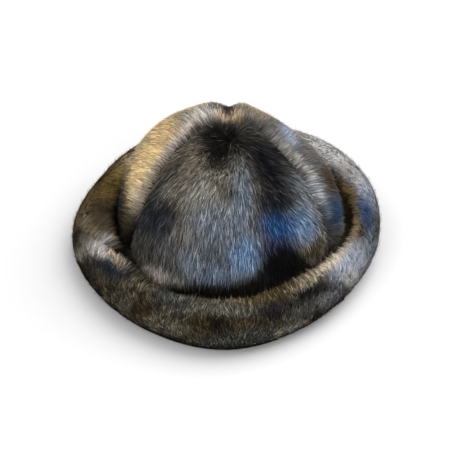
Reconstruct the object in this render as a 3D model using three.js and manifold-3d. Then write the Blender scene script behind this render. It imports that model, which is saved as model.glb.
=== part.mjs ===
// Fur hat with a tall crown and a turned-up brim.
// Millimetres, +Z up. The front of the hat faces -Y, and the origin lies on the floor
// under the middle of the hat.

import * as THREE from 'three';
import Module from 'manifold-3d';
import { ParametricGeometry } from 'three/addons/geometries/ParametricGeometry.js';
import { mergeVertices } from 'three/addons/utils/BufferGeometryUtils.js';

const wasm = await Module();
wasm.setup();

// Seams between pelts
const seamGap = 0.3;

// Crown: half widths of the fur's outer form at rising heights, from the foot to the top
const crownRows = [
  { height: 1.5, left: 84, right: 91, front: 94, back: 103 },
  { height: 14, left: 84, right: 91, front: 94, back: 103 },
  { height: 26, left: 88, right: 96, front: 98, back: 108 },
  { height: 46, left: 90, right: 98, front: 100, back: 111 },
  { height: 68, left: 89, right: 93, front: 95, back: 105 },
  { height: 88, left: 83, right: 75, front: 83, back: 92 },
  { height: 107, left: 70, right: 52, front: 66, back: 74 },
  { height: 121.5, left: 48, right: 30, front: 41, back: 50 },
  { height: 129, left: 24, right: 12, front: 17, back: 22 },
  { height: 130.5, left: 0, right: 0, front: 0, back: 0 },
];

// Head hollow: the same columns for the inside of the crown
const hollowRows = [
  { height: 1.5, left: 72, right: 78, front: 84, back: 93 },
  { height: 36, left: 75, right: 81, front: 86, back: 96 },
  { height: 68, left: 72, right: 72, front: 75, back: 89 },
  { height: 92, left: 57, right: 51, front: 55, back: 69 },
  { height: 105, left: 33, right: 28, front: 29, back: 38 },
  { height: 109, left: 0, right: 0, front: 0, back: 0 },
];
const squareness = 2.2;
const crownCentre = new THREE.Vector3(4, 0, 50);

// Horseshoe seam round the front panel, drawn in a plane that leans back by panelLean:
// across runs along X, up runs along that plane, and the seam lies no deeper than seamLimit
const panelLean = THREE.MathUtils.degToRad(38);
const seamRows = [
  { across: -92, up: -60 },
  { across: -88, up: 0 },
  { across: -80, up: 19 },
  { across: -69, up: 42 },
  { across: -48, up: 78 },
  { across: -33, up: 93 },
  { across: -15, up: 109 },
  { across: 2, up: 112 },
  { across: 19, up: 107 },
  { across: 33, up: 99 },
  { across: 51, up: 81 },
  { across: 67, up: 60 },
  { across: 81, up: 27 },
  { across: 93, up: 4 },
  { across: 97, up: -60 },
];
const seamSteps = 36;
const seamLimit = 20;

// Raised edge of the wrap beside the seam, and the crease along the seam
const ridgeRise = 5.5;
const ridgeWidth = 17;
const creaseDepth = 3.5;
const creaseWidth = 7;

// Dents of the panel and of the crown's top, placed in the seam's leaning plane: long and
// wide are half lengths, and turn leans the long axis towards the right, in degrees
const dentRows = [
  { name: 'top hollow', across: -7, up: 90, long: 17, wide: 16, turn: 0, depth: 21 },
  { name: 'hollow tip', across: -5, up: 78, long: 10, wide: 6, turn: 0, depth: 4 },
  { name: 'left pinch', across: -60, up: 27, long: 20, wide: 9, turn: 27, depth: 6 },
  { name: 'right pinch', across: 37, up: 70, long: 36, wide: 10, turn: -27, depth: 9 },
  { name: 'right recess', across: 52, up: -7, long: 20, wide: 25, turn: 0, depth: 15 },
  { name: 'parting', across: 6, up: -26, long: 26, wide: 4, turn: 0, depth: 3 },
  { name: 'top notch', across: 2, up: 119, long: 16, wide: 6, turn: 0, depth: 8 },
];
const dentFadeFrom = -60;
const dentFadeTo = 0;
const hollowShare = 0.5;

// Wedge that parts the front panel from the wrap: it spreads forward from its tip, and
// near and far are its ends, measured into the hat along the panel's lean
const wedgeTip = new THREE.Vector3(4, 80, 0);
const wedgeNear = -2;
const wedgeFar = -170;
const wedgeDrop = 40;

// Brim, one row each 30 degrees from the front towards the right: outer is its widest
// radius, and inner the radius of its top inner edge
const brimRows = [
  { azimuth: 0, outer: 145, inner: 117, height: 43 },
  { azimuth: 30, outer: 135, inner: 114, height: 43 },
  { azimuth: 60, outer: 130, inner: 110, height: 43 },
  { azimuth: 90, outer: 137, inner: 113, height: 44 },
  { azimuth: 120, outer: 151, inner: 114, height: 45 },
  { azimuth: 150, outer: 161, inner: 119, height: 46 },
  { azimuth: 180, outer: 152, inner: 120, height: 46 },
  { azimuth: 210, outer: 152, inner: 114, height: 45 },
  { azimuth: 240, outer: 139, inner: 106, height: 44 },
  { azimuth: 270, outer: 138, inner: 102, height: 43 },
  { azimuth: 300, outer: 135, inner: 109, height: 43 },
  { azimuth: 330, outer: 139, inner: 119, height: 43 },
];

// Section of the roll, from its flat underside out, up, over and down to the trough beside
// the crown: inset is measured in from the named radius, level is a share of the height,
// and lock and tip say how far a lock of fur moves the point out and up
const rollRows = [
  { radius: 'outer', inset: 13, level: 0, lock: 0, tip: 0 },
  { radius: 'outer', inset: 3, level: 0.15, lock: 0, tip: 0 },
  { radius: 'outer', inset: 0, level: 0.42, lock: 0.7, tip: 0 },
  { radius: 'outer', inset: 5, level: 0.8, lock: 0.7, tip: 0 },
  { radius: 'crest', inset: 4, level: 1, lock: 0, tip: 0.7 },
  { radius: 'inner', inset: 0, level: 0.88, lock: 0, tip: 2 },
  { radius: 'inner', inset: 1, level: 0.55, lock: 0, tip: 0 },
  { radius: 'foot', inset: -2, level: 0.3, lock: 0, tip: 0 },
  { radius: 'foot', inset: 0, level: 0.18, lock: 0, tip: 0 },
  { radius: 'foot', inset: 0, level: 0, lock: 0, tip: 0 },
];
const footHeight = 14;
const footGap = 0.4;

// Seams of the brim from above: each runs in from outside the roll to its top inner edge,
// and turns there towards the foot
const brimSeams = [
  { name: 'left', outerX: -152, outerY: 10, edgeX: -84, edgeY: -76, footX: -55, footY: -52 },
  { name: 'right', outerX: 150, outerY: -42, edgeX: 79, edgeY: -90, footX: 52, footY: -58 },
];
const bladeThickness = 0.5;
const bladeHeight = 200;

// Locks of fur are two mesh columns wide and lockLength mesh rows long, and their tips
// hang free above tipRow at the crown's foot
const lockRise = 1.4;
const lockLength = 4;
const lockStagger = 7;
const lockRootShare = 0.4;
const tipRow = 5;

// Mesh steps
const crownColumns = 86;
const crownSteps = 27;
const hollowSteps = 7;
const brimColumns = 96;
const stepsPerArc = 2;

const fullTurn = 2 * Math.PI;
const acrossAxis = new THREE.Vector3(1, 0, 0);
const upAxis = new THREE.Vector3(0, Math.sin(panelLean), Math.cos(panelLean));
const intoAxis = new THREE.Vector3(0, Math.cos(panelLean), -Math.sin(panelLean));

// A smooth reading of a table at any place between its rows
function tableReader(rows, places, columns) {
  const values = rows.flatMap((row) => columns.map((name) => row[name]));
  const reader = new THREE.CubicInterpolant(places, values, columns.length);
  return (place) => {
    const read = reader.evaluate(place);
    return Object.fromEntries(columns.map((name, i) => [name, read[i]]));
  };
}

const ringColumns = ['height', 'left', 'right', 'front', 'back'];
const shares = (rows) => rows.map((row, i) => i / (rows.length - 1));
const readCrown = tableReader(crownRows, shares(crownRows), ringColumns);
const readHollow = tableReader(hollowRows, shares(hollowRows), ringColumns);

// A ring's radius, rounded between its side, front and back half widths
function ringRadius(ring, azimuth) {
  const side = azimuth > Math.PI ? ring.left : ring.right;
  const end = Math.cos(azimuth) > 0 ? ring.front : ring.back;
  const reach = Math.abs(Math.sin(azimuth) / side) ** squareness
    + Math.abs(Math.cos(azimuth) / end) ** squareness;
  return reach ** (-1 / squareness);
}

// A point at a radius and height: the azimuth turns from the front towards the right
function polarPoint(azimuth, radius, height, target) {
  return target.set(radius * Math.sin(azimuth), -radius * Math.cos(azimuth), height);
}

function ringPoint(ring, azimuth, target) {
  const radius = ring.left > 0 ? ringRadius(ring, azimuth) : 0;
  return polarPoint(azimuth, radius, ring.height, target);
}

// The crown's ring at a height, found by halving
function crownRing(height) {
  let low = 0;
  let high = 1;
  for (let i = 0; i < 20; i += 1) {
    const middle = (low + high) / 2;
    if (readCrown(middle).height < height) low = middle;
    else high = middle;
  }
  return readCrown(low);
}

function insideSmoothCrown(point) {
  if (point.z >= crownRows.at(-1).height) return false;
  const azimuth = (Math.atan2(point.x, -point.y) + fullTurn) % fullTurn;
  return Math.hypot(point.x, point.y) < ringRadius(crownRing(point.z), azimuth);
}

function onPanelPlane(point) {
  return new THREE.Vector2(point.x, point.dot(upAxis));
}

// A point of the seam's outline is pushed back along the panel's lean until it meets the
// smooth crown
function seamPointOnCrown(outlinePoint) {
  const start = new THREE.Vector3(outlinePoint.x, 0, 0)
    .addScaledVector(upAxis, outlinePoint.y);
  for (let depth = wedgeFar; depth < seamLimit; depth += 1) {
    const point = start.clone().addScaledVector(intoAxis, depth);
    if (insideSmoothCrown(point)) return point;
  }
  return null;
}

const seamCurve = new THREE.SplineCurve(
  seamRows.map((row) => new THREE.Vector2(row.across, row.up)),
);
const seamPoints = seamCurve.getPoints(seamSteps).map(seamPointOnCrown);
const seamPieces = [];
for (let i = 1; i < seamPoints.length; i += 1) {
  if (seamPoints[i - 1] && seamPoints[i]) {
    seamPieces.push(new THREE.Line3(seamPoints[i - 1], seamPoints[i]));
  }
}

// Signed distance to the seam: positive on the wrap, negative on the front panel
function seamDistance(point) {
  const closest = new THREE.Vector3();
  let distance = Infinity;
  let outside = true;
  for (const piece of seamPieces) {
    piece.closestPointToPoint(point, true, closest);
    const gap = closest.distanceTo(point);
    if (gap < distance) {
      distance = gap;
      const along = onPanelPlane(piece.end).sub(onPanelPlane(piece.start));
      const away = onPanelPlane(point).sub(onPanelPlane(closest));
      outside = along.cross(away) > 0;
    }
  }
  return outside ? distance : -distance;
}

// Rise of the wrap's ridge and fall of the crease along the seam
function seamRelief(point) {
  const distance = seamDistance(point);
  const reach = Math.max(distance, 0) / ridgeWidth;
  const crease = Math.exp(-((distance / creaseWidth) ** 2));
  return ridgeRise * reach * Math.exp(1 - reach) - creaseDepth * crease;
}

// Depth of all dents at a point of the crown, faded out towards the back
function dentDepth(point) {
  const fade = 1 - THREE.MathUtils.smoothstep(point.dot(intoAxis), dentFadeFrom, dentFadeTo);
  const flat = onPanelPlane(point);
  let depth = 0;
  for (const dent of dentRows) {
    const away = new THREE.Vector2(flat.x - dent.across, flat.y - dent.up)
      .rotateAround(new THREE.Vector2(), THREE.MathUtils.degToRad(dent.turn));
    depth += dent.depth * Math.exp(-((away.y / dent.long) ** 2) - (away.x / dent.wide) ** 2);
  }
  return depth * fade;
}

// Height of the locks: a lock's middle stands out, its edges lie in, and it rises from
// its root to its tip
function lockHeight(column, row) {
  const stagger = Math.floor(column / 2) * lockStagger;
  const place = ((row + stagger) % lockLength) / lockLength;
  const side = column % 2 === 0 ? 1 : -1;
  return lockRise * side * (lockRootShare + (1 - lockRootShare) * place);
}

// Outer fur of the crown at a mesh column and row, with the rows counted from the foot up
function crownFur(column, row, target) {
  const rise = row / crownSteps;
  ringPoint(readCrown(rise), fullTurn * column / crownColumns, target);
  const outward = target.clone().sub(crownCentre).normalize();
  const tip = tipRow + (column % 2);
  const footFade = THREE.MathUtils.smoothstep(row, tip - 1, tip + 1);
  const topFade = 1 - THREE.MathUtils.smoothstep(rise, 0.6, 0.95);
  const relief = seamRelief(target) - dentDepth(target) + lockHeight(column, row) * topFade;
  return target.addScaledVector(outward, relief * footFade);
}

// Inside of the crown at a mesh column and row: the dents show there as a share
function headHollow(column, row, target) {
  const azimuth = fullTurn * column / crownColumns;
  const fur = ringPoint(readCrown(row / hollowSteps), azimuth, new THREE.Vector3());
  ringPoint(readHollow(row / hollowSteps), azimuth, target);
  const outward = target.clone().sub(crownCentre).normalize();
  return target.addScaledVector(outward, -hollowShare * dentDepth(fur));
}

// A closed solid from a surface whose edges meet: shared corners are joined, and the
// triangles that collapse at a pole are left out
function solidFrom(surface) {
  const shape = new THREE.BufferGeometry().copy(surface);
  shape.deleteAttribute('normal');
  shape.deleteAttribute('uv');
  const merged = mergeVertices(shape, 1e-4);
  const corners = merged.index.array;
  const kept = [];
  for (let i = 0; i < corners.length; i += 3) {
    const [a, b, c] = [corners[i], corners[i + 1], corners[i + 2]];
    if (a !== b && b !== c && c !== a) kept.push(a, b, c);
  }
  return new wasm.Manifold(new wasm.Mesh({
    numProp: 3,
    vertProperties: new Float32Array(merged.attributes.position.array),
    triVerts: new Uint32Array(kept),
  }));
}

// The crown's shell runs from its outer top down to the foot, and up inside to the top
function crownShell() {
  const steps = crownSteps + hollowSteps + 1;
  return solidFrom(new ParametricGeometry((u, v, target) => {
    const column = (crownColumns - Math.round(u * crownColumns)) % crownColumns;
    const step = Math.round(v * steps);
    if (step <= crownSteps) crownFur(column, crownSteps - step, target);
    else headHollow(column, step - crownSteps - 1, target);
  }, crownColumns, steps));
}

function middleOf(loop) {
  const middle = new THREE.Vector3();
  for (const point of loop) middle.addScaledVector(point, 1 / loop.length);
  return middle;
}

// The wedge that holds the front panel, its sides spread from the tip through the seam, so
// that they cross the wall. growth widens it all round
function panelWedge(growth) {
  const onSeam = seamPieces.map((piece) => {
    const along = onPanelPlane(piece.end).sub(onPanelPlane(piece.start)).normalize();
    return piece.start.clone()
      .addScaledVector(acrossAxis, -along.y * growth)
      .addScaledVector(upAxis, along.x * growth);
  });
  const belowFoot = (point) => point.clone().setZ(-wedgeDrop);
  const edge = [belowFoot(onSeam[0]), ...onSeam, belowFoot(onSeam.at(-1))];
  const spread = (depth) => edge.map((point) => {
    const reach = (depth - wedgeTip.dot(intoAxis)) / point.clone().sub(wedgeTip).dot(intoAxis);
    return wedgeTip.clone().lerp(point, reach);
  });
  const near = spread(wedgeNear);
  const far = spread(wedgeFar);
  const nearMiddle = middleOf(near);
  const farMiddle = middleOf(far);
  return solidFrom(new ParametricGeometry((u, v, target) => {
    const corner = Math.round(u * edge.length) % edge.length;
    const level = Math.round(v * 3);
    target.copy([farMiddle, far[corner], near[corner], nearMiddle][level]);
  }, edge.length, 3));
}

// The brim's readings repeat a turn before and after, so that its ring closes smoothly
const brimTurns = [-360, 0, 360].flatMap((turn) => (
  brimRows.map((row) => ({ ...row, azimuth: row.azimuth + turn }))
));
const readBrim = tableReader(
  brimTurns,
  brimTurns.map((row) => row.azimuth),
  ['outer', 'inner', 'height'],
);

// The roll's section at a mesh column, as a ring of points that hold radius and height
function rollSection(column) {
  const azimuth = fullTurn * column / brimColumns;
  const brim = readBrim(THREE.MathUtils.radToDeg(azimuth));
  const radii = {
    outer: brim.outer,
    crest: (brim.inner + brim.outer) / 2,
    inner: brim.inner,
    foot: ringRadius(crownRing(footHeight), azimuth) + footGap,
  };
  const side = column % 2 === 0 ? 1 : -1;
  const curve = new THREE.SplineCurve(rollRows.map((row) => new THREE.Vector2(
    radii[row.radius] - row.inset + side * row.lock,
    brim.height * row.level + side * row.tip,
  )));
  return curve.getPoints((rollRows.length - 1) * stepsPerArc);
}

function brimRing() {
  const sections = [];
  for (let column = 0; column < brimColumns; column += 1) sections.push(rollSection(column));
  const steps = sections[0].length;
  return solidFrom(new ParametricGeometry((u, v, target) => {
    const column = Math.round(u * brimColumns) % brimColumns;
    const point = sections[column][Math.round(v * steps) % steps];
    polarPoint(fullTurn * column / brimColumns, point.x, point.y, target);
  }, brimColumns, steps));
}

// A thin upright blade that parts the brim along one seam
function seamBlade(seam) {
  const line = [
    new THREE.Vector2(seam.outerX, seam.outerY),
    new THREE.Vector2(seam.edgeX, seam.edgeY),
    new THREE.Vector2(seam.footX, seam.footY),
  ];
  const shifted = line.map((point) => new THREE.Vector2(point.x, point.y - bladeThickness));
  const blade = new THREE.ExtrudeGeometry(new THREE.Shape([...line, ...shifted.reverse()]), {
    depth: bladeHeight,
    bevelEnabled: false,
  });
  return solidFrom(blade.translate(0, 0, -bladeHeight / 2));
}

// One named piece of fur in its own colour
function pelt(name, solid, color) {
  const mesh = solid.getMesh();
  const geometry = new THREE.BufferGeometry();
  geometry.setAttribute('position', new THREE.BufferAttribute(mesh.vertProperties, 3));
  geometry.setIndex(new THREE.BufferAttribute(mesh.triVerts, 1));
  geometry.computeVertexNormals();
  const material = new THREE.MeshStandardMaterial({ color, roughness: 0.85, metalness: 0 });
  const piece = new THREE.Mesh(geometry, material);
  piece.name = name;
  return piece;
}

const shell = crownShell();
const [brimFront, brimBack] = brimSeams
  .reduce((ring, seam) => ring.subtract(seamBlade(seam)), brimRing())
  .decompose()
  .sort((a, b) => a.boundingBox().min[1] - b.boundingBox().min[1]);

const hat = new THREE.Group();
hat.add(pelt('crown_front', shell.intersect(panelWedge(0)), 0x5f5c5a));
hat.add(pelt('crown_wrap', shell.subtract(panelWedge(seamGap)), 0x8a7152));
hat.add(pelt('brim_front', brimFront, 0x4d4436));
hat.add(pelt('brim_back', brimBack, 0x62594c));

// The hat stands on the floor with its middle over the origin
const box = new THREE.Box3().setFromObject(hat);
const middle = box.getCenter(new THREE.Vector3());
hat.position.set(-middle.x, -middle.y, -box.min.z);

export default hat;
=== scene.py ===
import math

import bpy
import numpy as np
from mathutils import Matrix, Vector
from mathutils.bvhtree import BVHTree


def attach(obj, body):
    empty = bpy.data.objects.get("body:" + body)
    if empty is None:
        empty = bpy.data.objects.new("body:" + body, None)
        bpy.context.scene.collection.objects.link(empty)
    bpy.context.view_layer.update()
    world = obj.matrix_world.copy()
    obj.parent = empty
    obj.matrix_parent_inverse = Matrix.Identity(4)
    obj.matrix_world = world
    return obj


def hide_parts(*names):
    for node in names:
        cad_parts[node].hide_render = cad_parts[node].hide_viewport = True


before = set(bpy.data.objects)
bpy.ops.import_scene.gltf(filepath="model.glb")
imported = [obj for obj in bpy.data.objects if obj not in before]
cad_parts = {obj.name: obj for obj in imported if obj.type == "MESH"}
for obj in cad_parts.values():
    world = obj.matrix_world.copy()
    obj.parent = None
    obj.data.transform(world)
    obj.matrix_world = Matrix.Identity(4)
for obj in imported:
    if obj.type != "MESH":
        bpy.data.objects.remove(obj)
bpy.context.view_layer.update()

mm = 0.001
up = np.array([0.0, 0.0, 1.0])
tiny = 1e-12   # keeps lengths off zero


# Materials

class Wire:
    # An output socket of a material: sums on it add Math nodes, so they are for numbers
    def __init__(self, look, socket):
        self.look = look
        self.socket = socket

    def sum(self, operation, *values):
        return self.look.node("Math", {"operation": operation}, dict(enumerate(values)))

    def __add__(self, other):
        return self.sum("ADD", self, other)

    def __radd__(self, other):
        return self.sum("ADD", other, self)

    def __sub__(self, other):
        return self.sum("SUBTRACT", self, other)

    def __rsub__(self, other):
        return self.sum("SUBTRACT", other, self)

    def __mul__(self, other):
        return self.sum("MULTIPLY", self, other)

    def __rmul__(self, other):
        return self.sum("MULTIPLY", other, self)

    def __pow__(self, other):
        return self.sum("POWER", self, other)


class Look:
    # One material, built from nodes
    def __init__(self, name):
        self.material = bpy.data.materials.new(name)
        self.material.use_nodes = True
        self.tree = self.material.node_tree
        self.tree.nodes.clear()

    def node(self, kind, settings=None, inputs=None, output=0):
        made = self.tree.nodes.new("ShaderNode" + kind)
        for name, value in (settings or {}).items():
            setattr(made, name, value)
        for name, value in (inputs or {}).items():
            if isinstance(value, Wire):
                self.tree.links.new(value.socket, made.inputs[name])
            else:
                made.inputs[name].default_value = value
        return Wire(self, made.outputs[output] if made.outputs else None)

    # A Mix node keeps its colours at inputs 6 and 7, and the mixed colour at output 2
    def mix(self, share, first, second, blend="MIX"):
        settings = {"data_type": "RGBA", "blend_type": blend, "clamp_factor": True}
        return self.node("Mix", settings, {0: share, 6: first, 7: second}, 2)

    def dot(self, vector, direction):
        return self.node("VectorMath", {"operation": "DOT_PRODUCT"}, {0: vector, 1: direction}, "Value")

    def read(self, name, output="Fac"):
        return self.node("Attribute", {"attribute_name": name}, {}, output)

    def noise(self, place, size, detail, output="Fac"):
        return self.node("TexNoise", {}, {"Vector": place, "Scale": 1 / size, "Detail": detail}, output)

    def smooth(self, value, low, high):
        return self.node("MapRange", {"interpolation_type": "SMOOTHSTEP"},
                         {"Value": value, "From Min": low, "From Max": high})

    def finish(self, **inputs):
        shader = self.node("BsdfPrincipled", {}, inputs)
        self.node("OutputMaterial", {}, {"Surface": shader})
        return self.material


def opaque(colour):
    return (*colour, 1.0)


# Swatches give display colours from 0 to 255, and shaders take linear ones
def tone(red, green, blue):
    return tuple(((c / 255 + 0.055) / 1.055) ** 2.4 if c > 10 else c / 255 / 12.92
                 for c in (red, green, blue))


# Patches of colour lie in a plane that leans back over the hat's front, as in a drawing
# of it: across runs along X, and up runs along the plane. Both are in mm
lean = math.radians(37)
upPlane = (0.0, math.sin(lean), math.cos(lean))
intoPlane = (0.0, math.cos(lean), -math.sin(lean))

# How every fur is shaded. Pairs are where a smooth step starts and ends, and sizes are in mm
shading = {
    "cloudSteps": (0.34, 0.66),    # of the noise, from a coat's shade to its light
    "cloudDetail": 3.0,
    "wanderSize": 14,              # of the noise that frays the patches' edges
    "wanderDetail": 3.0,
    "patchSteps": (1.5, 0.3),      # in reaches from a patch's middle
    "backFade": 18,                # the patches end over this depth
    "guardTints": (1.2, 1.32),     # the brightest stray hairs take the guard tone
    "tipSteps": (0.5, 1.0),        # along the hair
    "tipTints": (0.6, 1.0),        # bright hairs gain more at their tips
    "rootSteps": (-0.1, 0.8),      # along the hair
    "warmTints": (0.2, 0.9),       # from a coat's darkHair to its lightHair
    "fullPaintedShade": 0.96,               # the share of colour that full painted shade takes from a hair
}


# A coat's ground tone, with its patches over it. The patches are the fur's own colours, and some also
# paint shade and highlights
def patchwork(look, place, coat):
    cloud = look.noise(place, coat["cloudSize"] * mm, shading["cloudDetail"])
    colour = look.mix(look.smooth(cloud, *shading["cloudSteps"]),
                      opaque(tone(*coat["shade"])), opaque(tone(*coat["light"])))
    across = look.node("SeparateXYZ", {}, {0: place})
    flat = look.node("CombineXYZ", {}, {0: across, 1: look.dot(place, upPlane)})
    wander = look.noise(place, shading["wanderSize"] * mm, shading["wanderDetail"], "Color")
    stray = coat["wander"] * mm
    drawn = look.node("VectorMath", {"operation": "MULTIPLY_ADD"},
                      {0: wander, 1: (stray, stray, 0), 2: flat})
    inFront = look.smooth(look.dot(place, intoPlane), coat["backFrom"] * mm,
                          coat["backFrom"] * mm - shading["backFade"] * mm)
    # The wander's mean is a half of stray, so the patches' places are moved by as much
    for patch in coat["patches"]:
        at = tuple(v * mm + stray / 2 for v in patch["at"])
        reach = tuple(v * mm for v in patch["reach"])
        scaled = look.node("Mapping", {"vector_type": "TEXTURE"},
                           {"Vector": drawn, "Location": (*at, 0), "Scale": (*reach, 1),
                            "Rotation": (0, 0, math.radians(patch["turn"]))})
        away = look.node("VectorMath", {"operation": "LENGTH"}, {0: scaled}, "Value")
        share = look.smooth(away, *shading["patchSteps"]) * inFront * patch["share"]
        colour = look.mix(share, colour, opaque(tone(*patch["tone"])))
    return colour


# Fur: its patchwork, with a tint that differs from lock to lock and from hair to hair
def furLook(name, coat):
    look = Look(name)
    colour = patchwork(look, look.read("hairPlace", "Vector"), coat)
    tint = look.read("hairTint")
    lock = look.read("hairLock")
    along = look.read("hairAlong")
    paintedShade = look.read("hairPaintedShade")
    isGuard = look.smooth(tint, *shading["guardTints"])
    colour = look.mix(isGuard * coat["guardShare"], colour, opaque(tone(*coat["guardTone"])))
    bright = coat["dimmest"] + coat["spread"] * tint ** 2.0
    # The square of a lock's tint is 1/3 on average, so its spread leaves the mean as it is
    bright = bright * (1 - coat["lockSpread"] / 3 + coat["lockSpread"] * lock ** 2.0)
    bright = bright * (1 + coat["tipGain"] * look.smooth(along, *shading["tipSteps"])
                       * look.smooth(tint, *shading["tipTints"]))
    fromRoot = look.smooth(along, *shading["rootSteps"])
    gain = bright * (coat["rootLevel"] + (1 - coat["rootLevel"]) * fromRoot)
    # Painted shade: a hair is darkened by its painted-shade value, in the trough, along the crown's
    # seam and round the brim's foot
    gain = gain * (1 - shading["fullPaintedShade"] * paintedShade)
    grey = look.node("CombineColor", {}, {0: gain, 1: gain, 2: gain})
    warmth = look.mix(look.smooth(tint, *shading["warmTints"]),
                      opaque(coat["darkHair"]), opaque(coat["lightHair"]))
    shaded = look.mix(1.0, look.mix(1.0, colour, warmth, "MULTIPLY"), grey, "MULTIPLY")
    return look.finish(**{"Base Color": shaded, "Roughness": coat["roughness"],
                          "Specular IOR Level": coat["specular"]})


# Skin and underfur, below the hairs and inside the hat. Sizes are in mm
underfur = {"mottleSize": 5, "mottleSteps": (0.35, 0.65), "mottleDetail": 4.0,
            "fibreSize": 0.8, "fibreDetail": 2.0, "fibreHeight": 0.4, "fibreStrength": 0.6,
            "roughness": 0.95, "specular": 0.1,
            "crease": 50}   # degrees: edges that bend more than this stay sharp


def peltLook(name, dark, light):
    look = Look(name)
    place = look.node("TexCoord", {}, {}, "Object")
    mottle = look.noise(place, underfur["mottleSize"] * mm, underfur["mottleDetail"])
    fibres = look.noise(place, underfur["fibreSize"] * mm, underfur["fibreDetail"])
    bump = look.node("Bump", {}, {"Strength": underfur["fibreStrength"], "Height": fibres,
                                  "Distance": underfur["fibreHeight"] * mm})
    colour = look.mix(look.smooth(mottle, *underfur["mottleSteps"]),
                      opaque(tone(*dark)), opaque(tone(*light)))
    return look.finish(**{"Base Color": colour, "Roughness": underfur["roughness"],
                          "Specular IOR Level": underfur["specular"], "Normal": bump})


# Surfaces

# A CAD node's corners and triangles, with corners in one place joined
def readNode(name):
    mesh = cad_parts[name].data
    mesh.calc_loop_triangles()
    corners = np.empty(len(mesh.vertices) * 3)
    mesh.vertices.foreach_get("co", corners)
    corners = corners.reshape(-1, 3)
    triangles = np.empty(len(mesh.loop_triangles) * 3, np.int64)
    mesh.loop_triangles.foreach_get("vertices", triangles)
    microns = np.round(corners / 1e-6).astype(np.int64)
    first, joined = np.unique(microns, axis=0, return_index=True, return_inverse=True)[1:]
    faces = joined.reshape(-1)[triangles].reshape(-1, 3)
    a, b, c = faces.T
    return corners[first], faces[(a != b) & (b != c) & (c != a)]


# A probe stands off a face, and looks for another node that is near and faces it. In mm
touching = {"probe": 0.3, "near": 1.2, "facing": -0.5}


# A face that lies against another node is a cut or a joint, and grows no fur
def againstOthers(name, middles, normals):
    against = np.zeros(len(middles), bool)
    probes = (middles + normals * touching["probe"] * mm).tolist()
    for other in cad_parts:
        if other == name:
            continue
        points, faces = readNode(other)
        tree = BVHTree.FromPolygons(points.tolist(), faces.tolist())
        for i, probe in enumerate(probes):
            spot, normal = tree.find_nearest(probe, touching["near"] * mm)[:2]
            if spot is not None and np.dot(normal, normals[i]) < touching["facing"]:
                against[i] = True
    return against


# Each pull in is paid back, so that the form keeps its size
smoothing = {"rounds": 4, "pulls": (0.6, -0.63), "normalRounds": 2, "neighbourShare": 0.5}


# A node's skin: smoothed outer side, with normals that ignore the cuts
class Skin:
    def __init__(self, nodeName, isOuter):
        self.points, self.faces = readNode(nodeName)
        normals = faceNormals(self.points, self.faces)[0]
        middles = self.points[self.faces].mean(axis=1)
        outer = isOuter(middles, normals) & ~againstOthers(nodeName, middles, normals)
        self.outerFaces = self.faces[outer]
        self.pairs = neighbourPairs(self.outerFaces)
        for pull in smoothing["pulls"] * smoothing["rounds"]:
            self.findNormals()
            self.relax(pull)
        self.findNormals()
        self.tree = BVHTree.FromPolygons(self.points.tolist(), self.outerFaces.tolist())

    def findNormals(self):
        normals, areas = faceNormals(self.points, self.outerFaces)
        total = np.zeros_like(self.points)
        for corner in range(3):
            np.add.at(total, self.outerFaces[:, corner], normals * areas[:, None])
        self.isOuterPoint = np.linalg.norm(total, axis=1) > 0
        for step in range(smoothing["normalRounds"]):
            spread = total.copy()
            np.add.at(spread, self.pairs[:, 0], total[self.pairs[:, 1]] * smoothing["neighbourShare"])
            total = spread
        self.normals = unit(total)

    # Points move along their normals towards the middle of their neighbours
    def relax(self, pull):
        total = np.zeros_like(self.points)
        count = np.zeros(len(self.points))
        np.add.at(total, self.pairs[:, 0], self.points[self.pairs[:, 1]])
        np.add.at(count, self.pairs[:, 0], 1)
        moved = self.isOuterPoint & (count > 0)
        toMiddle = total[moved] / count[moved, None] - self.points[moved]
        along = (toMiddle * self.normals[moved]).sum(axis=1, keepdims=True)
        self.points[moved] += self.normals[moved] * along * pull

    # Random places on the outer side, spread evenly by area
    def scatter(self, count, rng):
        areas = faceNormals(self.points, self.outerFaces)[1]
        chosen = self.outerFaces[rng.choice(len(areas), count, p=areas / areas.sum())]
        first, second = rng.random(count), rng.random(count)
        flip = first + second > 1
        first[flip], second[flip] = 1 - first[flip], 1 - second[flip]
        shares = np.stack([1 - first - second, first, second], axis=1)[:, :, None]
        places = (self.points[chosen] * shares).sum(axis=1)
        return places, unit((self.normals[chosen] * shares).sum(axis=1))

    # The nearest places of the outer side, with its smooth normals there
    def nearest(self, places):
        found = np.empty_like(places)
        which = np.empty(len(places), np.int64)
        for i, place in enumerate(places.tolist()):
            hit = self.tree.find_nearest(place)
            found[i] = hit[0]
            which[i] = hit[2]
        corners = self.outerFaces[which]
        a, b, c = (self.points[corners[:, i]] for i in range(3))
        whole = np.cross(b - a, c - a)
        size = (whole * whole).sum(axis=1)
        second = (np.cross(found - a, c - a) * whole).sum(axis=1) / size
        third = (np.cross(b - a, found - a) * whole).sum(axis=1) / size
        shares = np.clip(np.stack([1 - second - third, second, third], axis=1), 0, 1)
        return found, unit((self.normals[corners] * shares[:, :, None]).sum(axis=1))


def unit(vectors):
    return vectors / np.maximum(np.linalg.norm(vectors, axis=-1, keepdims=True), tiny)


def faceNormals(points, faces):
    a, b, c = (points[faces[:, i]] for i in range(3))
    cross = np.cross(b - a, c - a)
    return unit(cross), np.linalg.norm(cross, axis=1) / 2


def neighbourPairs(faces):
    pairs = np.concatenate([faces[:, [0, 1]], faces[:, [1, 2]], faces[:, [2, 0]]])
    return np.unique(np.concatenate([pairs, pairs[:, ::-1]]), axis=0)


# The crown's outer faces look away from its middle
crownOut = {"middle": (4, 0, 50), "facing": 0.25}


def crownOuter(middles, normals):
    away = unit(middles - np.array(crownOut["middle"]) * mm)
    return (normals * away).sum(axis=1) > crownOut["facing"]


def outwardFrom(places):
    return unit(places * [1, 1, 0])


# The brim is bare on its underside, and low down on the side that faces the crown
brimBare = {"under": -0.75, "facingIn": -0.3, "low": 12}


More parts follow.
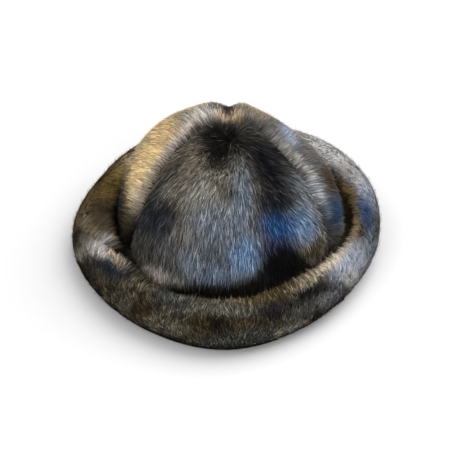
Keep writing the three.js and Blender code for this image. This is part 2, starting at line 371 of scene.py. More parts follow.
def brimOuter(middles, normals):
    under = normals[:, 2] < brimBare["under"]
    facesCrown = (normals * outwardFrom(middles)).sum(axis=1) < brimBare["facingIn"]
    return ~(under | facesCrown & (middles[:, 2] < brimBare["low"] * mm))


# Soft random numbers from 0 to 1 that vary over a given size
def softNoise(places, size, rng):
    cells = 40
    lattice = rng.random((cells, cells, cells))
    at = places / size + cells * 10   # far enough from 0 for no cell to be below it
    low = np.floor(at).astype(np.int64)
    part = at - low
    part = part * part * (3 - 2 * part)
    total = np.zeros(len(places))
    for corner in np.ndindex(2, 2, 2):
        share = np.prod(np.where(corner, part, 1 - part), axis=1)
        index = (low + corner) % cells
        total += share * lattice[index[:, 0], index[:, 1], index[:, 2]]
    return total


# Fur

def onSurface(directions, normals):
    flat = directions - normals * (directions * normals).sum(axis=1, keepdims=True)
    return unit(flat)


# Turns directions about their normals
def turned(directions, normals, angles):
    side = np.cross(normals, directions)
    return directions * np.cos(angles)[:, None] + side * np.sin(angles)[:, None]


meanTint = 3 ** -0.5   # a hair of this tint is as bright as its coat's mean

# How every hair is formed. Sizes are in mm. Where a pair isn't a pair of limits, its second
# value is what noise or chance adds to its first at most
hairForm = {
    "rippleSize": 0.4, "ripple": 0.5,       # a finer swirl: its size and its angle, to the swirl's
    "lengthLimits": (0.5, 1.6),             # to the coat's length
    "tuftSize": 12, "tufts": (0.85, 0.3),   # length differs from tuft to tuft
    "strayTints": (1.0, 0.35),              # other hairs have tints from 0 to 1
    "rises": (0.5, 1.0),                    # to the coat's rise
    "bendDepth": 0.25, "bendRise": 0.4,     # to the root's depth and the tip's rise
    "bendWidth": 0.85,                      # to the root's width
    "lockBend": 1.5, "lockWander": 1.2,     # size and reach of the noise that bends locks, to theirs
    "holds": (0.6, 0.8),                    # how much a lock gathers, to the coat's
    "mostHeld": 0.95, "bendHeld": 0.35,     # at the tip, and at the bend to the tip
    "widths": (0.6, 0.8),                   # to the coat's width
    "floorGap": 0.4,
    "bendShade": 0.55,                      # the bend's place in the shading from root to tip
    "calmShade": 0.55,                      # how far calm moves such a place towards the tip's
}
hairPoints = 5   # two at the root, two at the bend and one at the tip
hairSides = 7    # four of the quad from root to bend, and three of the triangle to the tip


def upFrom(pair, share):
    return pair[0] + pair[1] * share


# Members of one lock share a cell of a lattice that noise bends
def lockOf(places, size, rng):
    bend = np.stack([softNoise(places, size * hairForm["lockBend"], rng) for axis in range(3)], axis=1)
    cells = np.floor((places + bend * size * hairForm["lockWander"]) / size).astype(np.int64)
    names, member = np.unique(cells, axis=0, return_inverse=True)
    return member.reshape(-1), len(names)


def lockMean(values, member, count):
    held = np.maximum(np.bincount(member, minlength=count), 1)
    return np.stack([np.bincount(member, values[:, i], count) / held for i in range(3)], axis=1)


# The way that each hair lies: its nap, turned by soft swirls and by chance
def combed(places, normals, coat, nap, rng):
    flow = onSurface(nap(places, normals), normals)
    swirl = (softNoise(places, coat["swirlSize"] * mm, rng) - 0.5) * 2
    ripple = (softNoise(places, coat["swirlSize"] * hairForm["rippleSize"] * mm, rng) - 0.5) * 2
    angle = np.radians(coat["swirl"]) * (swirl + hairForm["ripple"] * ripple)
    angle += np.radians(coat["fray"]) * rng.normal(size=len(places))
    return turned(flow, normals, angle)


def lengthOf(places, normals, coat, rng):
    uneven = (1 + coat["unevenLength"] * rng.normal(size=len(places))).clip(*hairForm["lengthLimits"])
    tuft = upFrom(hairForm["tufts"], softNoise(places, hairForm["tuftSize"] * mm, rng))
    return coat["length"] * mm * uneven * (tuft * coat["trim"](places, normals))


# Locks draw their hairs' tips together, and their bends a little, but not those of strays.
# Returns each hair's lock among the smallest, and how many there are
def gather(bend, tip, places, stray, coat, rng):
    for size, pull in coat["locks"]:
        member, locks = lockOf(places, size * mm, rng)
        held = pull * upFrom(hairForm["holds"], rng.random(locks))[member]
        held[stray] = 0
        toTip = lockMean(tip, member, locks)[member] - tip
        tip += toTip * held[:, None].clip(0, hairForm["mostHeld"])
        bend += (lockMean(bend, member, locks)[member] - bend) * held[:, None] * hairForm["bendHeld"]
    return member, locks


# Hairs take part of their shading from the coat below them, as round hairs do
def shadeNormals(side, along, bendNormal, coatNormal, facet):
    flat = np.cross(side, along)
    flat *= np.sign((flat * bendNormal).sum(axis=1, keepdims=True))
    return unit(flat[:, None, :] * facet + coatNormal * (1 - facet))


# Where a hair's corners are in its shading: a calm hair is shaded more like its tip all along
def shadePlaces(calm):
    bendShade = hairForm["bendShade"]
    along = np.array([0.0, 0.0, bendShade, bendShade, 1.0]) + np.zeros((len(calm), 1))
    return along + (1 - along) * hairForm["calmShade"] * calm[:, None]


# Draws hairs: each is a bent ribbon of two steps that narrows to a point
def growFur(name, skin, coat, nap, keep, material, seed):
    rng = np.random.default_rng(seed)
    places, normals = skin.scatter(coat["hairs"], rng)
    kept = keep(places)
    places, normals = places[kept], normals[kept]
    count = len(places)
    flow = combed(places, normals, coat, nap, rng)
    half = lengthOf(places, normals, coat, rng)[:, None] * 0.5
    stray = rng.random(count) < coat["strays"]
    tint = rng.random(count)
    tint[stray] = upFrom(hairForm["strayTints"], tint[stray])
    calm = coat["calm"](places)
    tint += (meanTint - tint) * calm

    # Bend and tip follow the surface, and where it ends the tip goes on past it
    bendSpot, bendNormal = skin.nearest(places + flow * half)
    bendFlow = onSurface(flow, bendNormal)
    tipSpot, tipNormal = skin.nearest(bendSpot + bendFlow * half)
    reached = np.linalg.norm(tipSpot - bendSpot, axis=1, keepdims=True) / half
    tipSpot = tipSpot + bendFlow * half * (1 - reached).clip(0, 1)
    rise = coat["rise"] * mm * upFrom(hairForm["rises"], rng.random(count))
    rise = rise + coat["lift"](places, normals) * mm
    rise[stray] += coat["strayRise"] * mm * rng.random(stray.sum())
    depth = coat["depth"] * mm
    root = places - normals * depth
    bend = bendSpot - bendNormal * (depth * hairForm["bendDepth"])
    bend = bend + bendNormal * (rise * hairForm["bendRise"])[:, None]
    tip = tipSpot + tipNormal * rise[:, None]
    member, locks = gather(bend, tip, places, stray, coat, rng)
    lockTint = rng.random(locks)[member]
    lockTint += (meanTint - lockTint) * calm
    for line in (root, bend, tip):
        line[:, 2] = np.maximum(line[:, 2], hairForm["floorGap"] * mm)

    width = coat["width"] * mm * upFrom(hairForm["widths"], rng.random(count)) / 2
    width[stray] *= coat["strayWidth"]
    along = unit(tip - root)
    roll = np.radians(coat["roll"]) * rng.normal(size=count)
    side = turned(unit(np.cross(along, bendNormal)), along, roll)
    shown = np.stack([places, places, bendSpot, bendSpot, tipSpot], axis=1)
    shown = shown + rng.normal(size=(count, 1, 3)) * coat["blend"] * mm
    coatNormal = np.stack([normals, normals, bendNormal, bendNormal, tipNormal], axis=1)
    shadeNormal = shadeNormals(side, along, bendNormal, coatNormal, coat["facet"])

    mesh = ribbonMesh(name, root, bend, tip, side * width[:, None])
    writeValues(mesh, "hairAlong", shadePlaces(calm))
    writeValues(mesh, "hairTint", np.repeat(tint, hairPoints))
    writeValues(mesh, "hairLock", np.repeat(lockTint, hairPoints))
    # Each hair's painted shade, which its look darkens it by
    writeValues(mesh, "hairPaintedShade", np.repeat(coat["paintedShade"](places, normals), hairPoints))
    writeValues(mesh, "hairPlace", shown, "FLOAT_VECTOR", "vector")
    layBakeMap(mesh, member)
    mesh.normals_split_custom_set_from_vertices(shadeNormal.reshape(-1, 3).tolist())
    return addPiece(name, mesh, material)


# A quad from root to bend and a triangle to the tip for each hair
def ribbonMesh(name, root, bend, tip, wide):
    bendWide = wide * hairForm["bendWidth"]
    points = np.stack([root - wide, root + wide, bend + bendWide, bend - bendWide, tip],
                      axis=1).reshape(-1, 3)
    hair = np.arange(len(root))[:, None]
    corners = (hair * hairPoints + [0, 1, 2, 3, 3, 2, 4]).ravel()
    starts = (hair * hairSides + [0, 4]).ravel()
    mesh = bpy.data.meshes.new(name)
    mesh.vertices.add(len(points))
    mesh.vertices.foreach_set("co", points.astype(np.float32).ravel())
    mesh.loops.add(len(corners))
    mesh.loops.foreach_set("vertex_index", corners.astype(np.int32))
    mesh.polygons.add(len(starts))
    mesh.polygons.foreach_set("loop_start", starts.astype(np.int32))
    mesh.polygons.foreach_set("use_smooth", np.ones(len(starts), bool))
    mesh.update(calc_edges=True)
    return mesh


# Values on a mesh's corners, for its look to read
def writeValues(mesh, title, values, kind="FLOAT", field="value"):
    data = mesh.attributes.new(title, kind, "POINT").data
    data.foreach_set(field, values.astype(np.float32).ravel())


# The bake map, OFBake: cells to a side, and a hair's corners in its cell
bakeMap = {"cells": 128, "corners": ((0.1, 0.1), (0.9, 0.1), (0.9, 0.55), (0.1, 0.55),
                                     (0.1, 0.55), (0.9, 0.55), (0.5, 0.9))}


# Neighbours in one lock share a small cell
def layBakeMap(mesh, member):
    count = len(member)
    cells = bakeMap["cells"]
    order = np.empty(count, np.int64)
    order[np.argsort(member, kind="stable")] = np.arange(count)
    cell = order * (cells * cells) // count
    low = np.stack([cell % cells, cell // cells], axis=1) / cells
    corner = np.array(bakeMap["corners"]) / cells
    places = (low[:, None, :] + corner[None, :, :]).reshape(-1, 2)
    mesh.uv_layers.new(name="OFBake").data.foreach_set("uv", places.astype(np.float32).ravel())


def addPiece(name, mesh, material):
    mesh.materials.append(material)
    piece = bpy.data.objects.new(name, mesh)
    bpy.context.scene.collection.objects.link(piece)
    return piece


# The pelt below the hairs: the node's own form, its outer side drawn in
def makePelt(name, skin, depth, material):
    points = skin.points.copy()
    points[skin.isOuterPoint] -= skin.normals[skin.isOuterPoint] * depth * mm
    points[:, 2] = np.maximum(points[:, 2], 0)
    mesh = bpy.data.meshes.new(name)
    mesh.from_pydata(points.tolist(), [], skin.faces.tolist())
    mesh.polygons.foreach_set("use_smooth", np.ones(len(skin.faces), bool))
    mesh.set_sharp_from_angle(angle=math.radians(underfur["crease"]))
    mesh.update()
    return addPiece(name, mesh, material)


skins = {
    "crown_front": Skin("crown_front", crownOuter),
    "crown_wrap": Skin("crown_wrap", crownOuter),
    "brim_front": Skin("brim_front", brimOuter),
    "brim_back": Skin("brim_back", brimOuter),
}
for title, skin in skins.items():
    furArea = faceNormals(skin.points, skin.outerFaces)[1].sum() / mm ** 2
    print(f"{title}: {len(skin.faces)} faces, {furArea:.0f} mm2 of fur")


# Crown

# A row is an azimuth, from the front towards the right, and the value there
def rowsAt(rows, places):
    azimuth = np.degrees(np.arctan2(places[:, 0], -places[:, 1])) % 360
    return np.interp(azimuth, [row[0] for row in rows], [row[1] for row in rows])


# Below these heights the crown's hair is darkened with painted shade, where the trough lies in shadow,
# and the tips of the hair above hang over it. Heights and sizes are in mm
hemRows = ((0, 50), (8, 52), (14, 57), (20, 64), (30, 69), (39, 61), (48, 41), (56, 35),
           (77, 34), (98, 36), (180, 38), (262, 40), (292, 32), (308, 26), (326, 28),
           (340, 44), (348, 50), (360, 51))
crownPaintedShadeSizes = {"hemStart": 4, "hemFade": 9, "hem": 0.97, "seamWidth": 1.3, "seam": 0.85}


# Painted shade on the crown's hair: in the trough, and along the seam between its two pieces
def crownPaintedShade(seamSkin):
    def paintedShade(places, normals):
        hem = rowsAt(hemRows, places) * mm + crownPaintedShadeSizes["hemStart"] * mm
        inTrough = np.clip((hem - places[:, 2]) / (crownPaintedShadeSizes["hemFade"] * mm), 0, crownPaintedShadeSizes["hem"])
        away = np.linalg.norm(skins[seamSkin].nearest(places)[0] - places, axis=1)
        atSeam = np.exp(-(away / (crownPaintedShadeSizes["seamWidth"] * mm)) ** 2)
        return np.maximum(inTrough, crownPaintedShadeSizes["seam"] * atSeam)
    return paintedShade


# What a coat says where its hair has no lift, no trim or no calm
def noLift(places, normals):
    return np.zeros(len(places))


def untrimmed(places, normals):
    return np.ones(len(places))


def lively(places):
    return np.zeros(len(places))


# In a coat, lengths and sizes are in mm and angles in degrees. Depth is that of the roots,
# and rise is how far the tips stand off the surface. Locks are pairs of a size and how much
# they gather. Shade, light and tones are display colours, tinted by darkHair and lightHair,
# and the patches end behind backFrom, which is a depth into the plane that they lie in

# Front panel of the crown: the hair falls away from the hollow below the crown's top
crownFront = {
    "hairs": 66000, "length": 12, "unevenLength": 0.25, "width": 0.42, "depth": 5, "rise": -0.3,
    "lift": noLift, "paintedShade": crownPaintedShade("crown_wrap"), "trim": untrimmed, "calm": lively,
    "strays": 0.12, "strayRise": 3, "strayWidth": 0.6,
    "swirl": 12, "swirlSize": 26, "fray": 9,
    "roll": 38, "facet": 0.45, "locks": ((7, 0.12), (0.85, 0.55)),
    "whorl": (1, 0, 118), "whorlSize": 30, "whorlPull": 0.15, "fall": 0.38,
    "cloudSize": 14, "shade": (76, 72, 66), "light": (120, 116, 108), "wander": 6, "blend": 1.8,
    "guardTone": (165, 160, 148), "guardShare": 0.1,
    "dimmest": 0.37, "spread": 1.1, "lockSpread": 1.5, "tipGain": 0.7, "rootLevel": 0.06,
    "darkHair": (0.93, 0.98, 1.08), "lightHair": (1.03, 1.01, 0.96),
    "roughness": 0.7, "specular": 0.1, "backFrom": 60,
    "patches": (
        {"at": (-31, 78), "reach": (17, 24), "turn": -30, "tone": (107, 97, 83), "share": 0.85},
        {"at": (0, 0), "reach": (34, 27), "turn": 0, "tone": (76, 87, 101), "share": 0.75},
        {"at": (-52, 2), "reach": (12, 22), "turn": 0, "tone": (70, 71, 78), "share": 0.8},
        {"at": (-48, -19), "reach": (15, 10), "turn": 0, "tone": (69, 68, 62), "share": 0.7},
        {"at": (-48, -27), "reach": (12, 5), "turn": -5, "tone": (120, 128, 126), "share": 0.8},
        {"at": (-32, -10), "reach": (9, 9), "turn": 0, "tone": (117, 131, 147), "share": 0.6},
        {"at": (13, 40), "reach": (9, 30), "turn": 0, "tone": (107, 123, 142), "share": 0.65},
        {"at": (-10, -23), "reach": (24, 9), "turn": 0, "tone": (104, 120, 145), "share": 0.7},
        {"at": (16, -6), "reach": (14, 15), "turn": 0, "tone": (108, 137, 172), "share": 0.88},
        {"at": (62, 46), "reach": (12, 26), "turn": 20, "tone": (109, 117, 124), "share": 0.85},
        {"at": (61, 19), "reach": (15, 16), "turn": 0, "tone": (101, 129, 164), "share": 0.88},
        {"at": (42, 21), "reach": (15, 17), "turn": 10, "tone": (24, 70, 123), "share": 0.95},
        # Painted shade in the fold on the right
        {"at": (38, 40), "reach": (17, 13), "turn": 20, "tone": (11, 12, 25), "share": 0.95},
        {"at": (73, -4), "reach": (12, 8), "turn": 30, "tone": (75, 65, 47), "share": 0.9},
        # Painted shadow in the recess at the right front, this row and the next
        {"at": (42, -3), "reach": (20, 13), "turn": 14, "tone": (5, 17, 56), "share": 0.85},
        {"at": (47, -16), "reach": (18, 11), "turn": 14, "tone": (1, 2, 7), "share": 1.0},
        # Painted shade on the panel's left edge beside the seam, this row and the next
        {"at": (-67, 24), "reach": (15, 27), "turn": -14, "tone": (28, 33, 42), "share": 0.97},
        {"at": (-53, 24), "reach": (10, 13), "turn": -14, "tone": (15, 24, 37), "share": 0.8},
        {"at": (-68, 0), "reach": (13, 16), "turn": 0, "tone": (61, 61, 58), "share": 0.85},
        {"at": (-63, -23), "reach": (12, 8), "turn": -20, "tone": (227, 213, 208), "share": 0.88},
        # Painted shade along the seam on the left
        {"at": (-55, 54), "reach": (4, 35), "turn": -35, "tone": (37, 35, 36), "share": 0.97},
        {"at": (-10, 24), "reach": (22, 16), "turn": 0, "tone": (120, 129, 145), "share": 0.65},
        {"at": (-24, 46), "reach": (10, 14), "turn": -15, "tone": (136, 136, 131), "share": 0.7},
        # Painted shade in the fold on the right, this row and the next
        {"at": (34, 70), "reach": (17, 46), "turn": 26, "tone": (2, 3, 12), "share": 1.0},
        {"at": (47, 80), "reach": (9, 22), "turn": 40, "tone": (18, 18, 22), "share": 0.9},
        # The fur's dark colour with painted shade in the hollow below the top, this row and the next
        {"at": (-6, 97), "reach": (25, 17), "turn": 0, "tone": (2, 1, 1), "share": 1.0},
        {"at": (-8, 82), "reach": (9, 12), "turn": 0, "tone": (2, 1, 1), "share": 0.97},
    ),
}


def napFront(places, normals):
    away = places - np.array(crownFront["whorl"]) * mm
    reach = np.linalg.norm(away, axis=1, keepdims=True)
    pull = np.clip(reach / (crownFront["whorlSize"] * mm), crownFront["whorlPull"], 1)
    return unit(away) * pull - up * crownFront["fall"]


# The crown's top has a notch between two lobes. A bump is its place along X, its half width
# and its height, and bumps come in above topFrom, over topFade. All are in mm
crownTop = {"topFrom": 108, "topFade": 10, "bumps": ((13, 6, 1.5), (-14, 8, 1.0), (1, 4.5, -5))}


def liftWrap(places, normals):
    across = places[:, 0] / mm
    lift = np.zeros(len(places))
    for middle, half, height in crownTop["bumps"]:
        lift += height * np.exp(-((across - middle) / half) ** 2)
    onTop = (places[:, 2] - crownTop["topFrom"] * mm) / (crownTop["topFade"] * mm)
    return np.clip(onTop, 0, 1) * lift


# Wrap of the crown: the hair runs from the seam over the ridge, and then down
crownWrap = dict(crownFront)
crownWrap.update({
    "hairs": 96000, "swirlSize": 28, "lift": liftWrap, "paintedShade": crownPaintedShade("crown_front"),
    "seamHold": 34, "seamPull": 0.25, "fall": 0.9, "lowFrom": 90, "lowFade": 50, "lowFall": 0.6,
    "cloudSize": 16, "shade": (78, 75, 70), "light": (122, 117, 110), "backFrom": 12,
    "guardShare": 0.04, "dimmest": 0.67, "spread": 0.6, "lockSpread": 0.35, "rootLevel": 0.65,
    "patches": (
        {"at": (14, 111), "reach": (10, 6), "turn": -25, "tone": (56, 48, 38), "share": 0.85},
        {"at": (1, 117), "reach": (11, 9), "turn": 0, "tone": (206, 180, 148), "share": 0.8},
        {"at": (74, 64), "reach": (20, 46), "turn": 38, "tone": (82, 80, 83), "share": 0.9},
        {"at": (76, 51), "reach": (6, 14), "turn": 20, "tone": (188, 191, 195), "share": 0.85},
        {"at": (96, 33), "reach": (12, 19), "turn": 0, "tone": (28, 48, 75), "share": 0.97},
        {"at": (85, 30), "reach": (5, 12), "turn": 0, "tone": (112, 125, 139), "share": 0.6},
        {"at": (91, 60), "reach": (7, 17), "turn": 25, "tone": (49, 34, 13), "share": 0.95},
        # Painted shade in the fold beside the seam on the right
        {"at": (47, 81), "reach": (4, 32), "turn": 41, "tone": (27, 29, 37), "share": 0.9},
        {"at": (57, 80), "reach": (4, 27), "turn": 45, "tone": (180, 177, 170), "share": 0.85},
        {"at": (54, 99), "reach": (6, 12), "turn": 38, "tone": (143, 150, 169), "share": 0.95},
        # The fur's tan with a painted highlight on the left ridge
        {"at": (-67, 77), "reach": (15, 44), "turn": -27, "tone": (205, 181, 134), "share": 0.96},
        {"at": (-90, 59), "reach": (4, 16), "turn": -20, "tone": (66, 53, 31), "share": 0.9},
        # The fur's tan with a painted highlight on the left ridge
        {"at": (-58, 101), "reach": (14, 14), "turn": 0, "tone": (194, 168, 129), "share": 0.8},
        {"at": (-75, 44), "reach": (7, 13), "turn": -15, "tone": (209, 190, 165), "share": 0.8},
        # Painted shade on the wrap's low left flank
        {"at": (-92, 46), "reach": (5, 12), "turn": -12, "tone": (1, 1, 1), "share": 0.9},
        {"at": (-90, 22), "reach": (11, 20), "turn": -10, "tone": (88, 78, 54), "share": 0.95},
        # Painted shade on the wrap's low left flank
        {"at": (-95, 31), "reach": (9, 30), "turn": -8, "tone": (2, 1, 1), "share": 1.0},
        # Painted shade where the wrap meets the trough on the left
        {"at": (-80, 2), "reach": (12, 18), "turn": 20, "tone": (8, 3, 3), "share": 0.95},
        {"at": (-46, 88), "reach": (4, 40), "turn": -36, "tone": (211, 198, 185), "share": 0.9},
        {"at": (-21, 117), "reach": (15, 8), "turn": 22, "tone": (192, 186, 178), "share": 0.85},
        {"at": (-31, 125), "reach": (13, 3), "turn": 18, "tone": (188, 168, 142), "share": 0.7},
        # Painted shade in the notch on the crown's top
        {"at": (-8, 125), "reach": (12, 2), "turn": 0, "tone": (22, 21, 20), "share": 0.95},
        {"at": (27, 121), "reach": (13, 4), "turn": -28, "tone": (142, 125, 102), "share": 0.85},
        # Painted shade in the notch on the crown's top
        {"at": (1, 124), "reach": (5, 7), "turn": 0, "tone": (32, 28, 26), "share": 1.0},
    ),
})


def napWrap(places, normals):
    away = places - skins["crown_front"].nearest(places)[0]
    distance = np.linalg.norm(away, axis=1, keepdims=True)
    hold = np.exp(-distance / (crownWrap["seamHold"] * mm))
    low = np.clip((crownWrap["lowFrom"] * mm - places[:, 2:3]) / (crownWrap["lowFade"] * mm), 0, 1)
    fall = (1 - hold) * crownWrap["fall"] + crownWrap["lowFall"] * low
    return unit(away) * (crownWrap["seamPull"] + hold) - up * fall


# Brim

def napBrim(places, normals):
    out = outwardFrom(places)
    outward = (normals * out).sum(axis=1, keepdims=True)
    return up * outward - out * normals[:, 2:3]


# From -1 on the brim's outside to 1 in the trough
def facingCrown(places, normals):
    return -(normals * outwardFrom(places)).sum(axis=1)


# The tips at the brim's inner edge stand higher where the crown's hair meets them
edgeRows = ((0, 3), (12, 4), (22, 8), (34, 9), (46, 8), (62, 4), (90, 3), (270, 3), (285, 8),
            (298, 11), (314, 10), (328, 9), (342, 4), (360, 3))

# Painted shade round the brim's foot, where it meets the floor: azimuths, and the heights that it
# reaches
footShadeRows = ((0, 9), (45, 9), (70, 10), (180, 10), (245, 11), (258, 13), (272, 17), (290, 16),
            (308, 14), (335, 11), (360, 9))

# How much painted shade the brim's side of the trough gets, by azimuth: light falls in on the right
troughShadeRows = ((0, 1), (72, 1), (88, 0.86), (110, 0.78), (135, 1), (360, 1))

# Round the brim's sides and back, hairs differ less from one another
calmRows = ((0, 0), (25, 0), (50, 0.7), (62, 0.85), (280, 0.85), (318, 0), (360, 0))

# Where the hair changes on the roll, by how much it faces the crown
brimRoll = {
    "edgeFrom": -0.6, "edgeUp": -0.4,                   # lift of the tips, where hair also faces up
    "trim": 0.45, "trimSlope": 1.4, "trimStart": 0.5,   # shorter hair beside the trough
    "troughFrom": 0.5, "troughFade": 0.3,               # painted shade of the trough
    "footShadeTo": 0.3, "footShadeFade": 5, "footShade": 0.95,         # painted shade at the foot, where it meets the floor; its fade is in mm
}


def liftBrim(places, normals):
    atEdge = np.clip(facingCrown(places, normals) - brimRoll["edgeFrom"], 0, 1)
    return rowsAt(edgeRows, places) * atEdge * np.clip(normals[:, 2] - brimRoll["edgeUp"], 0, 1)


# Hairs beside the trough are short, so that it stays open
def trimBrim(places, normals):
    near = facingCrown(places, normals) * brimRoll["trimSlope"] + brimRoll["trimStart"]
    return 1 - brimRoll["trim"] * np.clip(near, 0, 1)


# Painted shade on the brim's hair: in the trough beside the crown, and round its foot on the floor
def brimPaintedShade(places, normals):
    facing = facingCrown(places, normals)
    inTrough = np.clip((facing - brimRoll["troughFrom"]) / brimRoll["troughFade"], 0, 1)
    inTrough *= rowsAt(troughShadeRows, places)
    below = rowsAt(footShadeRows, places) * mm - places[:, 2]
    atFoot = np.clip(below / (brimRoll["footShadeFade"] * mm), 0, 1) * brimRoll["footShade"]
    return np.maximum(inTrough, atFoot * (facing < brimRoll["footShadeTo"]))


def calmBrim(places):
    return rowsAt(calmRows, places)


# Patches that cross the joints between the brim's two pieces
brimJoints = (
    {"at": (106, -10), "reach": (22, 15), "turn": 30, "tone": (204, 212, 229), "share": 0.92},
    {"at": (107, -24), "reach": (9, 9), "turn": 30, "tone": (223, 225, 222), "share": 0.8},
    # Painted shadow along the diagonal dip on the brim's right front
    {"at": (70, -35), "reach": (16, 8), "turn": 22, "tone": (17, 16, 25), "share": 0.95},
    {"at": (82, -13), "reach": (28, 5), "turn": 35, "tone": (239, 225, 198), "share": 0.9},
    {"at": (-105, 0), "reach": (21, 8), "turn": -20, "tone": (224, 222, 220), "share": 0.92},
    {"at": (-119, 14), "reach": (7, 8), "turn": -10, "tone": (153, 141, 114), "share": 0.75},
    # Painted shade where the brim's roll turns down, away from the light, on the left
    {"at": (-99, -16), "reach": (17, 8), "turn": -25, "tone": (33, 41, 51), "share": 0.95},
    {"at": (-126, -14), "reach": (6, 12), "turn": 25, "tone": (49, 46, 38), "share": 0.9},
    {"at": (-95, 2), "reach": (6, 14), "turn": 20, "tone": (190, 160, 98), "share": 0.85},
    {"at": (-128, -4), "reach": (6, 6), "turn": 10, "tone": (173, 168, 154), "share": 0.75},
)

# Brim: the hair stands up round the roll, and its tips line the trough beside the crown
brimFront = {
    "hairs": 66000, "length": 7.5, "unevenLength": 0.25, "width": 0.42, "depth": 4.5, "rise": -0.3,
    "lift": liftBrim, "paintedShade": brimPaintedShade, "trim": trimBrim, "calm": calmBrim,
    "strays": 0.09, "strayRise": 3.5, "strayWidth": 0.6,
    "swirl": 36, "swirlSize": 12, "fray": 20,
    "roll": 42, "facet": 0.45, "locks": ((6, 0.15), (0.85, 0.55)),
    "cloudSize": 9, "shade": (34, 30, 25), "light": (88, 82, 68), "wander": 6, "blend": 1.8,
    "guardTone": (150, 146, 130), "guardShare": 0.03,
    "dimmest": 0.35, "spread": 1.4, "lockSpread": 1.9, "tipGain": 0.7, "rootLevel": 0.08,
    "darkHair": (0.95, 0.98, 1.06), "lightHair": (1.05, 1.0, 0.93),
    "roughness": 0.75, "specular": 0.08, "backFrom": 400,
    "patches": brimJoints + (
        {"at": (2, -63), "reach": (48, 8), "turn": 0, "tone": (61, 54, 38), "share": 0.9},
        # Painted highlight on the crest of the brim's roll at the front
        {"at": (0, -49), "reach": (48, 5), "turn": 0, "tone": (92, 93, 86), "share": 0.8},
        {"at": (-43, -42), "reach": (18, 6), "turn": -15, "tone": (60, 68, 74), "share": 0.6},
        {"at": (-92, -43), "reach": (11, 8), "turn": -35, "tone": (87, 84, 73), "share": 0.6},
        {"at": (-70, -48), "reach": (8, 9), "turn": 0, "tone": (46, 37, 19), "share": 0.85},
        {"at": (-92, -6), "reach": (14, 6), "turn": -36, "tone": (149, 139, 126), "share": 0.85},
        {"at": (38, -33), "reach": (27, 7), "turn": 18, "tone": (74, 62, 36), "share": 0.85},
        {"at": (39, -50), "reach": (18, 9), "turn": 10, "tone": (22, 17, 24), "share": 0.9},
        {"at": (66, -50), "reach": (18, 8), "turn": 30, "tone": (86, 87, 85), "share": 0.6},
        {"at": (88, -40), "reach": (13, 6), "turn": 35, "tone": (149, 151, 158), "share": 0.75},
        {"at": (50, -69), "reach": (17, 6), "turn": 18, "tone": (142, 137, 126), "share": 0.75},
        {"at": (-50, -63), "reach": (20, 8), "turn": -12, "tone": (110, 106, 92), "share": 0.7},
        {"at": (14, -72), "reach": (44, 6), "turn": 8, "tone": (72, 79, 80), "share": 0.6},
        {"at": (-8, -59), "reach": (10, 9), "turn": 0, "tone": (5, 3, 2), "share": 0.9},
        {"at": (-24, -58), "reach": (8, 10), "turn": 0, "tone": (46, 41, 21), "share": 0.8},
    ),
}
brimBack = dict(brimFront)
brimBack.update({
    "hairs": 94000, "length": 8.5, "fray": 14,
    "cloudSize": 13, "shade": (58, 50, 38), "light": (108, 98, 80),
    "patches": brimJoints + (
        # The brim's pale fur at the back right, with a painted highlight, this row and the next
        {"at": (92, 90), "reach": (42, 14), "turn": -37, "tone": (247, 247, 247), "share": 0.92},
        {"at": (72, 90), "reach": (10, 8), "turn": -30, "tone": (226, 222, 226), "share": 0.85},
        {"at": (112, 68), "reach": (11, 10), "turn": -35, "tone": (194, 188, 186), "share": 0.75},
        {"at": (126, 49), "reach": (9, 22), "turn": 8, "tone": (193, 205, 225), "share": 0.9},
        {"at": (120, 63), "reach": (7, 9), "turn": 20, "tone": (216, 216, 218), "share": 0.85},
        {"at": (96, 58), "reach": (11, 18), "turn": 32, "tone": (32, 27, 12), "share": 0.95},
        {"at": (107, 41), "reach": (8, 18), "turn": 10, "tone": (181, 155, 103), "share": 0.85},
        {"at": (128, 9), "reach": (7, 13), "turn": -8, "tone": (153, 169, 180), "share": 0.8},
        {"at": (124, 31), "reach": (8, 16), "turn": 5, "tone": (50, 82, 127), "share": 0.9},
        {"at": (105, 13), "reach": (6, 16), "turn": -38, "tone": (184, 162, 123), "share": 0.85},
        {"at": (-107, 53), "reach": (17, 34), "turn": -33, "tone": (130, 108, 60), "share": 0.85},
        {"at": (-90, 82), "reach": (8, 8), "turn": -30, "tone": (235, 210, 176), "share": 0.8},
        {"at": (-97, 71), "reach": (5, 9), "turn": -33, "tone": (171, 150, 95), "share": 0.85},
        {"at": (-126, 27), "reach": (6, 9), "turn": -15, "tone": (150, 142, 120), "share": 0.7},
        {"at": (-112, 34), "reach": (12, 11), "turn": -20, "tone": (71, 62, 49), "share": 0.8},
    ),
})


# Pieces: each node gets a pelt and its hair, which on the wrap and the back is in two halves

looks = {
    "crown_front": furLook("front panel fur", crownFront),
    "crown_wrap": furLook("crown wrap fur", crownWrap),
    "brim_front": furLook("brim front fur", brimFront),
    "brim_back": furLook("brim back fur", brimBack),
}
peltTones = {
    "crown_front": ((6, 5, 5), (16, 14, 13)),
    "crown_wrap": ((8, 6, 5), (24, 19, 14)),
    "brim_front": ((5, 4, 3), (14, 12, 9)),
    "brim_back": ((6, 5, 4), (18, 15, 11)),
}
barePart = 20   # mm: the crown's lowest part is hidden by the brim, and grows no hair


def everywhere(places):
    return np.ones(len(places), bool)


def aboveTrough(places):
    return places[:, 2] > barePart * mm


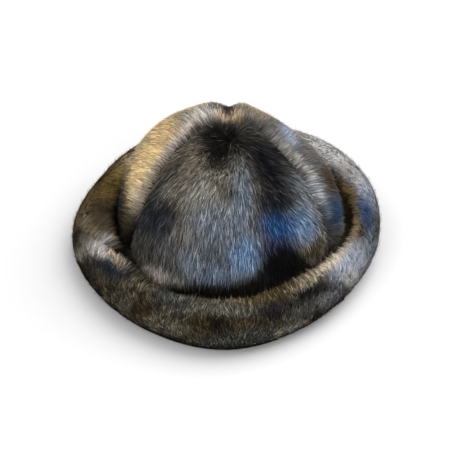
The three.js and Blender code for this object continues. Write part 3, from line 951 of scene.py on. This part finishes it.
# Each node's coat, the way its hair lies, where it grows, and the seed of its chance
coats = {
    "crown_front": (crownFront, napFront, aboveTrough, 11),
    "crown_wrap": (crownWrap, napWrap, aboveTrough, 12),
    "brim_front": (brimFront, napBrim, everywhere, 13),
    "brim_back": (brimBack, napBrim, everywhere, 14),
}
hairCount = 0
for node, (coat, nap, keep, seed) in coats.items():
    pelt = makePelt(node + "_pelt", skins[node], coat["depth"],
                    peltLook(node + " underfur", *peltTones[node]))
    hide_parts(node)
    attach(pelt, "root")
    node + "_fur"
    halves = {"": 0} if node.endswith("front") else {"_left": -1, "_right": 1}
    for half, side in halves.items():
        title = node + "_hair" + half
        piece = growFur(title, skins[node], coat, nap,
                        lambda places: keep(places) & (places[:, 0] * side >= 0),
                        looks[node], seed)
        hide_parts(node)
        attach(piece, "root")
        node + "_fur"
        grown = len(piece.data.vertices) // hairPoints
        hairCount += grown
        print(f"{title}: {grown} hairs")
print(f"{hairCount} hairs in all")


# Stage

# Pale floor and white surroundings. Sizes are in metres
stage = {"floorSize": 8.0, "floorTone": (0.69, 0.69, 0.7), "roughness": 0.9, "specular": 0.05,
         "mottleSize": 0.3, "mottleDetail": 2.0, "mottle": 0.04, "worldLight": 0.75}


def makeStage():
    mesh = bpy.data.meshes.new("floor")
    half = stage["floorSize"] / 2
    mesh.from_pydata([(-half, -half, 0), (half, -half, 0), (half, half, 0), (-half, half, 0)],
                     [], [(0, 1, 2, 3)])
    look = Look("pale floor")
    place = look.node("TexCoord", {}, {}, "Object")
    mottle = look.noise(place, stage["mottleSize"], stage["mottleDetail"]) * stage["mottle"]
    paper = look.mix(mottle, opaque(stage["floorTone"]), (1, 1, 1, 1))
    material = look.finish(**{"Base Color": paper, "Roughness": stage["roughness"],
                              "Specular IOR Level": stage["specular"]})
    addPiece("floor", mesh, material)


def makeWorld():
    world = bpy.data.worlds.new("studio")
    world.use_nodes = True
    background = world.node_tree.nodes["Background"]
    background.inputs["Color"].default_value = (1.0, 1.0, 1.0, 1.0)
    background.inputs["Strength"].default_value = stage["worldLight"]
    bpy.context.scene.world = world
    bpy.context.scene.view_settings.view_transform = "Standard"


# Lamps, in watts and metres, aimed at the hat's middle
hatMiddle = Vector((0, 0, 0.05))
lamps = {
    "key": {"at": (0.85, 0.45, 1.7), "size": 2.3, "watts": 34, "tone": (1.0, 0.99, 0.97)},
    "fill": {"at": (-1.0, -1.1, 1.3), "size": 1.4, "watts": 10, "tone": (1.0, 0.97, 0.92)},
    "front": {"at": (0.4, -1.6, 0.9), "size": 1.0, "watts": 7, "tone": (0.95, 0.97, 1.0)},
}


def makeLamps():
    for name, lamp in lamps.items():
        data = bpy.data.lights.new(name, "AREA")
        data.shape = "DISK"
        data.size = lamp["size"]
        data.energy = lamp["watts"]
        data.color = lamp["tone"]
        made = bpy.data.objects.new(name, data)
        made.location = lamp["at"]
        made.rotation_euler = (hatMiddle - Vector(lamp["at"])).to_track_quat("-Z", "Y").to_euler()
        bpy.context.scene.collection.objects.link(made)


# The camera looks down at the hat's front, by its elevation in degrees. metresPerPixel holds
# at the hat's middle, and the sensor is in mm
camera = {"elevation": 37, "distance": 1.4, "metresPerPixel": 0.9 * mm, "pixels": 450,
          "raisedBy": 20.7 * mm, "movedBy": -1.8 * mm, "sensor": 36}


def makeCamera():
    tilt = math.radians(camera["elevation"])
    forward = Vector((0, math.cos(tilt), -math.sin(tilt)))
    upward = Vector((0, math.sin(tilt), math.cos(tilt)))
    data = bpy.data.cameras.new("camera")
    data.sensor_width = camera["sensor"]
    seen = camera["metresPerPixel"] * camera["pixels"]
    data.lens = camera["sensor"] * camera["distance"] / seen
    made = bpy.data.objects.new("camera", data)
    made.location = upward * camera["raisedBy"] - forward * camera["distance"]
    made.location.x = camera["movedBy"]
    made.rotation_euler = forward.to_track_quat("-Z", "Y").to_euler()
    bpy.context.scene.collection.objects.link(made)
    bpy.context.scene.camera = made


makeStage()
makeLamps()
makeWorld()
makeCamera()
print("stage, lamps and camera are set")
